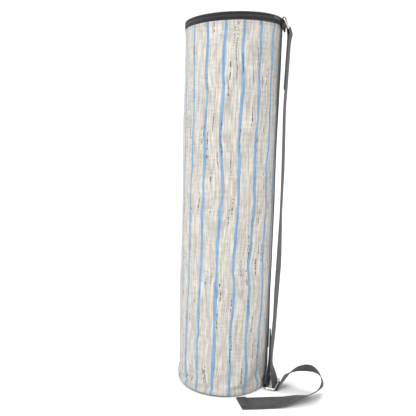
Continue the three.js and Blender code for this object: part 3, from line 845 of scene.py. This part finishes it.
# A folded tape, as (radius, depth below its upper edge): 10.3 mm up on the base, 3 mm down in the lid.
ROUND_BINDING = [(0.0850, 0), (0.0863, 0.0004), (0.0866, 0.0015), (0.0866, 0.0065), (0.0863, 0.0076),
                 (0.0851, 0.0080), (0.0849, 0.0070), (0.0848, 0.0010)]
BASE_BINDING = [(r, BAG_HEIGHT - 0.0103 + d) for r, d in ROUND_BINDING]
LID_BINDING = [(r - 0.0022, d + 0.0030) for r, d in ROUND_BINDING]
finish_piece(rim_band("base_binding", BASE_BINDING, 0, ROUND, 181, 0.0002, 57, tilt=False),
             "bag", "binding_tape", BINDING, "base_seam_binding")
finish_piece(rim_band("lid_binding", LID_BINDING, 0, ROUND, 181, 0.0002, 61),
             "lid", "binding_tape", BINDING, "lid_seam_binding")


def mouth_facing():
    """A band of charcoal canvas sewn inside the mouth."""
    steps = 144
    turns = np.linspace(0, ROUND, steps + 1)[:-1]
    rows = []
    for inset, share in ((0.0016, 0), (0.0030, 0), (0.0031, 0.5), (0.0030, 1), (0.0016, 1), (0.0016, 0.5)):
        radius = BAG_RADIUS - 0.0002 - inset - 0.0002 * np.sin(23 * turns)
        x, y = radius * np.cos(turns), radius * np.sin(turns)
        high = slope_height(x, y, CANVAS_DEPTH + 0.0006)
        rows.append(np.stack([x, y, FACING_BOTTOM + (high - FACING_BOTTOM) * share], axis=1))
    lengths = np.array([0, 0.0014, 0.013, 0.025, 0.0264, 0.038, 0.05])
    uvs = np.stack(np.meshgrid(np.linspace(0, ROUND, steps + 1) * BAG_RADIUS, lengths), axis=2)
    return grid_piece("mouth_facing", np.array(rows), uvs, closed_rows=True, closed_columns=True)


finish_piece(mouth_facing(), "bag", "charcoal_canvas", CHARCOAL, "rim_facing")
finish_piece(strip_on_tube("side_binding", middle=0.0, width=0.010, low=0.0110 / BAG_HEIGHT, high=0.958,
                           offset=-WALL - 0.0022, thickness=0.0014),
             "bag", "binding_tape", BINDING, "side_seam_binding")
finish_piece(strip_on_tube("side_tape", middle=(SIDE_WEBBING_AZIMUTH - SEAM_AZIMUTH) * BAG_RADIUS,
                           width=WEBBING_WIDTH, low=SIDE_WEBBING_BOTTOM / BAG_HEIGHT, high=0.998,
                           offset=0.0001, thickness=0.0013, wander=0.007),
             "bag", "webbing", WEBBING, "side_webbing")

ROW_PITCH = 0.0034
ROW_THREAD = 0.00024
TAB_STITCH_PITCH = 0.0026
TOPSTITCH_DROP = 0.0042


def canvas_topstitch():
    """A row of pale stitches just below the zip."""
    around = np.linspace(0.0, GIRTH, 720)
    height = np.full_like(around, 1 - TOPSTITCH_DROP / BAG_HEIGHT)
    line = on_tube(around, height, np.full_like(around, 0.00012))
    out = unit(line * np.array([1, 1, 0]))
    return threads("mouth_topstitch", seam_runs(line, out, ROW_PITCH), ROW_THREAD)


finish_piece(canvas_topstitch(), "bag", "striped_canvas", THREAD)


# ---- zip
ZIP_START = SEAM_AZIMUTH + HINGE_HALF_ANGLE
ZIP_END = SEAM_AZIMUTH + ROUND - HINGE_HALF_ANGLE
ZIP_MIDDLE = 0.00665
TOOTH_PITCH = 0.00165
TOOTH_RADIUS = 0.0898
TOOTH_ROOT = 0.0022
TOOTH_OVERLAP = 0.0007
TEETH_INSET = 0.035
# Closed outlines of (radius, depth below the mouth).
LOWER_TAPE = [(0.0882, 0.0128), (0.0892, 0.0131), (0.0900, 0.0127), (0.0901, 0.0116), (0.0897, 0.0100),
              (0.0893, 0.0086), (0.0891, 0.0074), (0.0884, 0.0073), (0.0881, 0.0090)]
UPPER_TAPE = [(0.0884, 0.0060), (0.0891, 0.0059), (0.0893, 0.0047), (0.0898, 0.0034), (0.0901, 0.0020),
              (0.0903, 0.0008), (0.0900, -0.0002), (0.0892, -0.0007), (0.0882, -0.0006), (0.0879, 0.0004),
              (0.0881, 0.0030)]
TAPE_ENDS = (ZIP_START + 0.008, ZIP_END - 0.008)
finish_piece(rim_band("tape_lower", LOWER_TAPE, *TAPE_ENDS, 361, 0.00012, 47),
             "bag", "zip_tape", ZIP_TAPE, "zip_tape_lower")
finish_piece(rim_band("tape_upper", UPPER_TAPE, *TAPE_ENDS, 361, 0.00012, 43),
             "lid", "zip_tape", ZIP_TAPE, "zip_tape_upper")


def zip_teeth(name, root, tip, shift):
    """One half of the nylon coil: a rounded tooth for each turn, reaching just past the middle."""
    sides = 6
    step = TOOTH_PITCH / BAG_RADIUS
    shape = [(0.0, 0.30), (0.18, 0.42), (0.70, 0.42), (0.88, 0.36), (1.0, 0.15)]
    vertices = []
    faces = []
    for turn in np.arange(ZIP_START + TEETH_INSET + shift * step, ZIP_END - TEETH_INSET, step):
        faces += capped_faces(len(shape), sides, len(vertices))
        for share, half in shape:
            angles = np.linspace(0, ROUND, sides, endpoint=False)
            radii = TOOTH_RADIUS + np.sin(angles) * 0.0009 * (0.5 + half)
            vertices += list(rim(turn + np.cos(angles) * half * step, radii, root + (tip - root) * share))
    return new_object(name, vertices, faces)


finish_piece(zip_teeth("teeth_lower", ZIP_MIDDLE + TOOTH_ROOT, ZIP_MIDDLE - TOOTH_OVERLAP, 0.0),
             "bag", "zip_coil", NYLON, "zip_coil_lower")
finish_piece(zip_teeth("teeth_upper", ZIP_MIDDLE - TOOTH_ROOT, ZIP_MIDDLE + TOOTH_OVERLAP, 0.5),
             "lid", "zip_coil", NYLON, "zip_coil_upper")


# ---- lid and hinge
LID_RADIUS = 0.0876
LID_TOP, LID_BOTTOM = BAG_HEIGHT - 0.0001, BAG_HEIGHT - 0.0018
LID_SAG = -0.0016


def lid_topstitch():
    """A ring of dark stitches near the lid's edge."""
    line = rim(np.linspace(0, ROUND, 500), 0.0838, 0.00035)
    up = np.broadcast_to(SLOPE_TURN @ np.array([0, 0, 1.0]), line.shape)
    return threads("lid_topstitch", seam_runs(line, up, ROW_PITCH), ROW_THREAD)


finish_piece(round_panel("lid_canvas", LID_RADIUS, LID_TOP, LID_BOTTOM, True, LID_SAG),
             "lid", "charcoal_canvas", CHARCOAL, "lid_panel")
finish_piece(lid_topstitch(), "lid", "charcoal_canvas", DARK_THREAD)

PATCH = [(0.0882, 0.0128), (0.0893, 0.0131), (0.0900, 0.0126), (0.0901, 0.0100), (0.0900, 0.0060),
         (0.0900, 0.0034), (0.0896, 0.0024), (0.0886, 0.0024), (0.0882, 0.0040)]
finish_piece(rim_band("hinge_canvas", PATCH, SEAM_AZIMUTH - HINGE_HALF_ANGLE + 0.006,
                      SEAM_AZIMUTH + HINGE_HALF_ANGLE - 0.006, 41, 0.0001, 50),
             "bag", "charcoal_canvas", CHARCOAL, "hinge_patch")


def hinge_fold():
    """The strip of canvas at the hinge, from the patch over the edge to the lid."""
    outer = [(0.0903, 0.0050), (0.0904, 0.0025), (0.0903, 0.0008), (0.0898, -0.0004), (0.0888, -0.0010),
             (0.0872, -0.0011), (0.0852, -0.0008)]
    inner = [(r - 0.0008, d + 0.0008) for r, d in reversed(outer)]
    start = SEAM_AZIMUTH - HINGE_HALF_ANGLE + 0.002
    end = SEAM_AZIMUTH + HINGE_HALF_ANGLE - 0.002
    piece = rim_band("hinge_fold", outer + inner, start, end, 41)
    finish_piece(piece, None, "charcoal_canvas", CHARCOAL)
    tuple(rim(SEAM_AZIMUTH, 0.0903, 0.0040))
    tuple(rim(SEAM_AZIMUTH, 0.0862, -0.0020))
    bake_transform(piece)


hinge_fold()


# ---- tabs that hold the rings
def tab_piece(name, stations, replaced):
    stations = smooth_route(stations, 0.0008)
    piece = strap_piece(name, stations, strap_section(TAB_WIDTH, TAB_THICKNESS, middle_points=9))
    finish_piece(piece, "bag", "webbing", WEBBING, replaced)


def top_tab():
    """Folded over the ring's bar, with both ends below it. Each pair is (out, up) from the bar."""
    profile = [(-0.00225, -0.0145), (-0.00225, -0.011), (-0.0023, -0.008), (-0.0030, -0.0015)]
    profile += [(0.0030 * math.cos(a), 0.0030 * math.sin(a)) for a in np.radians([150, 110, 70, 30, 0])]
    profile += [(0.0024, -0.0025), (0.0004, -0.0062), (-0.0006, -0.010), (-0.00075, -0.0125),
                (-0.00075, -0.0142)]
    tab_piece("top_tab", round_a_bar(TOP_RING_AZIMUTH, *TOP_RING_BAR, profile), "top_ring_tab")


def bottom_tab():
    """Two layers along a ribbon of (azimuth, radius, height), joined by a loop under the ring's bar."""
    ribbon = [(-5, 0.0929, 0.099), (-6, 0.0932, 0.086), (-7.5, 0.0938, 0.072), (-11.5, 0.0948, 0.047),
              (-16, 0.0941, 0.027), (-18, 0.0934, 0.0150)]
    loop = [(-0.0024, 0.0045), (-0.0030, 0.0), (-0.0021, -0.0021), (0, -0.0030), (0.0021, -0.0021),
            (0.0030, 0.0), (0.0024, 0.0045)]

    def layer(offset):
        turns = [math.radians(azimuth) for azimuth, _, _ in ribbon]
        return [[*beside(turn, r + offset, z), *round_the_axis(turn)]
                for turn, (_, r, z) in zip(turns, ribbon)]

    under = round_a_bar(BOTTOM_RING_AZIMUTH, *BOTTOM_RING_BAR, loop)
    tab_piece("bottom_tab", layer(-0.00078) + under + layer(0.00078)[::-1], "bottom_ring_tab")


top_tab()
bottom_tab()


def box_stitch(name, azimuth, bottom, top):
    """A sewn rectangle with a cross in it, on the outside of a tab."""
    half_width, radius = 0.0165, 0.0945
    corners = [(-half_width, bottom), (half_width, bottom), (half_width, top), (-half_width, top)]
    lines = [(corners[i], corners[(i + 1) % 4]) for i in range(4)]
    lines += [(corners[0], corners[2]), (corners[1], corners[3])]
    out = out_from_axis(azimuth)
    runs = []
    for (t0, z0), (t1, z1) in lines:
        shares = np.linspace(0, 1, 12)
        line = [beside(azimuth, radius, z0 + (z1 - z0) * k, t0 + (t1 - t0) * k) for k in shares]
        runs += seam_runs(line, [out] * len(line), TAB_STITCH_PITCH)
    finish_piece(threads(name, runs, 0.00028), "bag", "webbing", DARK_THREAD)


box_stitch("top_tab_stitches", TOP_RING_AZIMUTH, 0.6725, 0.6765)
box_stitch("bottom_tab_stitches", SEAM_AZIMUTH, 0.077, 0.096)


# ---- slider, pull and stops
SLIDER_HEIGHT = BAG_HEIGHT - ZIP_MIDDLE


def rounded_slab(outline, low, high, bevel):
    """A plate with softened edges. The outline is (along the zip, up) and it is thick radially."""
    outline = np.array(outline)
    centre = outline.mean(axis=0)
    reach = np.linalg.norm(outline - centre, axis=1, keepdims=True)
    inset = centre + (outline - centre) * (1 - bevel / reach)
    rings = ((inset, low), (outline, low + bevel), (outline, high - bevel), (inset, high))
    vertices = [(radius, t, h) for ring, radius in rings for t, h in ring]
    return vertices, capped_faces(len(rings), len(outline))


def bent_rod(route, radius, reference):
    """A round rod through points given as (radius, along, up), with a direction it never runs in."""
    route = np.array(route)
    tangent = unit(np.gradient(route, axis=0))
    side = unit(np.cross(tangent, np.array(reference)))
    up = np.cross(tangent, side)
    turns = np.linspace(0, ROUND, 12, endpoint=False)
    vertices = [tuple(p + (s * math.cos(a) + u * math.sin(a)) * radius)
                for p, s, u in zip(route, side, up) for a in turns]
    return vertices, capped_faces(len(route), len(turns))


def zip_metal(name, shapes, replaced):
    """Joins shapes drawn at the slider as (radius, along, up) into one piece on the sloping mouth."""
    vertices = []
    faces = []
    for shape_vertices, shape_faces in shapes:
        base = len(vertices)
        vertices += [beside(SLIDER_AZIMUTH, r, SLIDER_HEIGHT + h, t) for r, t, h in shape_vertices]
        faces += [tuple(base + k for k in face) for face in shape_faces]
    piece = new_object(name, on_slope(np.array(vertices)), faces)
    finish_piece(piece, replaced, "dark_nickel", DARK_NICKEL, replaced)


PIN_PLACE = (0.0940, -0.0030)
PIN_REACH = 0.0030
LUG_HEIGHT = 0.0027
PLATE = (-0.0060, 0.0060, 0.0026, 0.0036, 0.0014)


def slider_lug(height):
    """One ear of the slider, bent up round the end of the pull's pin."""
    radius, along = PIN_PLACE
    bend, foot = 0.0013, 0.0922
    bow = [(radius + bend * math.sin(a), along + bend * math.cos(a)) for a in np.linspace(math.pi, 0, 9)]
    outline = [(foot, along - bend), *bow, (foot, along + bend)]
    return bent_rod([(r, t, height) for r, t in outline], 0.00045, (0, 0, 1))


# Outer plate, inner plate, the bridge between them and the two ears.
zip_metal("slider_body", [
    rounded_slab(rounded_outline(*PLATE), 0.0914, 0.0926, 0.0004),
    rounded_slab(rounded_outline(*PLATE), 0.0852, 0.0862, 0.0003),
    rounded_slab(rounded_outline(0.0010, 0.0050, 0.00025, 0.00025, 0.0002), 0.0858, 0.0920, 0.0001),
    slider_lug(LUG_HEIGHT), slider_lug(-LUG_HEIGHT)], "zip_slider")
# Shank, grip, the grip's raised middle and the pin.
zip_metal("slider_pull", [
    rounded_slab(rounded_outline(-0.0190, -0.0024, 0.0020, 0.0017, 0.0008), 0.0935, 0.0945, 0.0003),
    rounded_slab(rounded_outline(-0.0240, -0.0085, 0.0028, 0.0022, 0.0018), 0.0932, 0.0948, 0.0005),
    rounded_slab(rounded_outline(-0.0228, -0.0100, 0.0017, 0.0012, 0.0010), 0.0930, 0.0950, 0.0004),
    bent_rod([(*PIN_PLACE, height) for height in (-PIN_REACH, 0.0, PIN_REACH)], 0.0006, (1, 0, 0))],
    "zip_pull")
for stop in ("zip_closed_stop", "zip_open_stop"):
    bpy.data.objects[stop].data.materials.clear()
    bpy.data.objects[stop].data.materials.append(DARK_NICKEL)


# ---- sewing on the strap
def strap_sewing():
    """The seam that holds the turned-over end, and the bartack at its corner."""
    place, across = strap_stations[:, :3], unit(strap_stations[:, 3:6])
    along = unit(np.gradient(place, axis=0))
    lift = unit(np.cross(along, across))
    lift *= np.sign(lift[:, 2:3])
    half = WEBBING_WIDTH / 2
    top = 1.5 * WEBBING_THICKNESS + 0.0002
    seam = len(place) - 9
    widths = np.linspace(-half + 0.002, half - 0.002, 12)
    line = [place[seam] + across[seam] * w + lift[seam] * top for w in widths]
    runs = seam_runs(line, [lift[seam]] * len(line), TAB_STITCH_PITCH)
    tack = len(place) - 4
    corner = place[tack] - across[tack] * (half - 0.0045) + lift[tack] * top
    reach = across[tack] * 0.0018
    for step in range(-4, 5):
        middle = corner + along[tack] * step * 0.0005
        runs.append((middle - reach, middle + reach, lift[tack]))
    finish_piece(threads("strap_end_sewing", runs, 0.00042), "bag", "webbing", DARK_THREAD)


strap_sewing()


# ---- studio
# Name, place, the point it faces, size and power of each light.
LIGHTS = [("key_light", (-1.0, -1.9, 2.0), (0, 0, 0.4), 1.5, 43),
          ("fill_light", (1.6, -0.9, 1.1), (0, 0, 0.4), 1.6, 3),
          ("top_light", (0.2, 0.4, 2.6), (0, 0, 0.3), 1.8, 32)]


def add_sweep():
    """A white floor that curves up at the back."""
    depth = np.array([-9.0, 2.2, 2.4, 2.6, 2.8, 2.95, 3.0, 3.0])
    rise = np.array([0.0, 0.0, 0.012, 0.06, 0.17, 0.38, 0.7, 5.0])
    points = np.stack([[[x, y, z] for x in (-9.0, 9.0)] for y, z in zip(depth, rise)])
    sweep = grid_piece("studio_sweep", points, np.zeros((len(depth), 2, 2)))
    g = Graph("studio_white", 0.9)
    tone = g.mix(g.noise(g.object_point(), scale=3.0), (0.90, 0.90, 0.90), (0.915, 0.915, 0.915))
    sweep.data.materials.append(g.connect(tone))


def add_lights():
    """Large soft lights and a white world."""
    for name, place, target, size, power in LIGHTS:
        data = bpy.data.lights.new(name, "AREA")
        data.shape = "DISK"
        data.size = size
        data.energy = power
        lamp = bpy.data.objects.new(name, data)
        lamp.location = place
        lamp.rotation_euler = (Vector(target) - Vector(place)).to_track_quat("-Z", "Y").to_euler()
        bpy.context.scene.collection.objects.link(lamp)
    world = bpy.data.worlds.new("studio_world")
    world.use_nodes = True
    background = world.node_tree.nodes["Background"]
    background.inputs["Color"].default_value = (1, 1, 1, 1)
    background.inputs["Strength"].default_value = 1.0
    bpy.context.scene.world = world
    bpy.context.scene.view_settings.view_transform = "Standard"


add_sweep()
add_lights()


bpy.context.view_layer.update()
